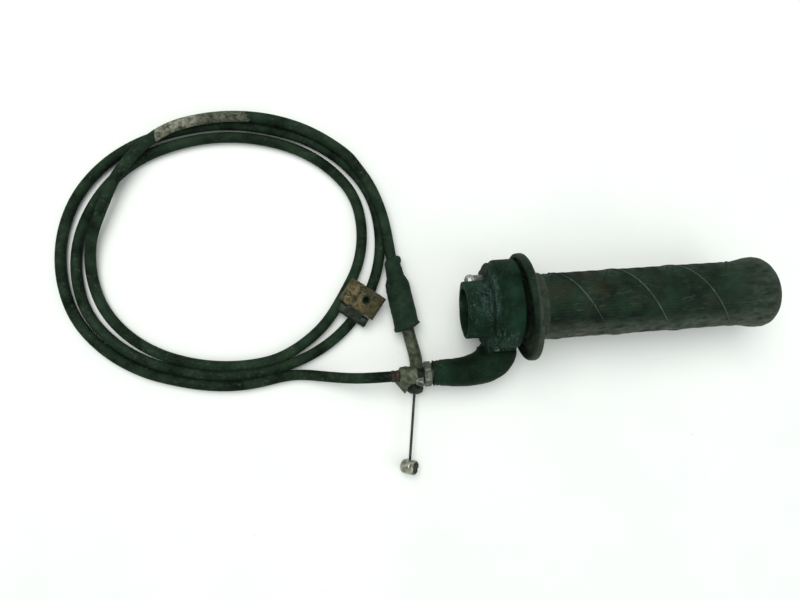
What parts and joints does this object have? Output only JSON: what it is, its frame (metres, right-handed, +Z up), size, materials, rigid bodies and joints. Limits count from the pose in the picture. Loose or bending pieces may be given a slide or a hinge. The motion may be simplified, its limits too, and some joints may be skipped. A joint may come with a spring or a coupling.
{
  "type": "motorcycle throttle grip",
  "caption": "Motorcycle twist grip with flange and bulb end, clamped housing, curved cable elbow and a long coiled throttle cable ending in a wire nipple.",
  "frame": {"origin": "on the handlebar's axis, at the mouth of the housing's collar", "axes": "+X along the handlebar towards the grip's closed end, +Z up from the floor the part lies on, -Y towards the cable's elbow"},
  "size_m": [0.3463, 0.1858, 0.0516],
  "materials": {
    "housing_plastic": "black, worn and dusty",
    "screw_steel": "dull zinc plate",
    "bright_steel": "worn bare steel",
    "pipe_steel": "dull plated steel",
    "boot_rubber": "black, slightly chalky",
    "wire_steel": "twisted wire, dark oil",
    "olive_zinc": "olive zinc plate, dirty",
    "brown_ferrule": "brown, corroded",
    "tube_plastic": "black moulded plastic",
    "grip_rubber": "black, ribbed and worn",
    "nipple_zinc": "cast zinc, worn",
    "cable_jacket": "black plastic jacket, scuffed",
    "dark_cup": "dark oily metal with a bright rim",
    "rusty_sheet": "heavy brown rust"
  },
  "bodies": {
    "housing": {"housing_upper": "housing_plastic", "housing_lower": "housing_plastic", "housing_screws": "screw_steel", "collar_tab": "bright_steel", "elbow_pipe": "pipe_steel", "elbow_boot": "boot_rubber", "grip_wire": "wire_steel", "adjuster_barrel": "pipe_steel", "cable_stop": "olive_zinc", "grip_ferrule": "brown_ferrule", "cable_lead": "cable_jacket", "cable_coil": "cable_jacket", "cable_tail": "cable_jacket", "carb_boot": "boot_rubber", "end_tube": "olive_zinc", "nose_cup": "dark_cup", "clip_plate": "rusty_sheet", "clip_strap": "rusty_sheet"},
    "throttle": {"throttle_tube": "tube_plastic", "grip_rubber": "grip_rubber", "drum_nipple": "nipple_zinc", "drum_wire": "wire_steel"},
    "adjuster": {"adjuster_nut": "pipe_steel"},
    "cable_end": {"inner_wire": "wire_steel", "cable_nipple": "nipple_zinc"}
  },
  "joints": [
    {"name": "twist", "type": "hinge", "parent": "housing", "child": "throttle", "pos_m": [0.08, 0, 0], "axis": [1, 0, 0], "range_deg": [0, 66]},
    {"name": "adjuster_turn", "type": "hinge", "parent": "housing", "child": "adjuster", "pos_m": [-0.0182, -0.0292, -0.011], "axis": [-1, 0, 0], "continuous": true},
    {"name": "wire_slide", "type": "slide", "parent": "housing", "child": "cable_end", "axis": [0.1364, 0.9906, -0.0108], "range_m": [0, 0.0165]}
  ],
  "couplings": [
    {"joint": "wire_slide", "follows": "twist", "m_per_rad": 0.014}
  ]
}
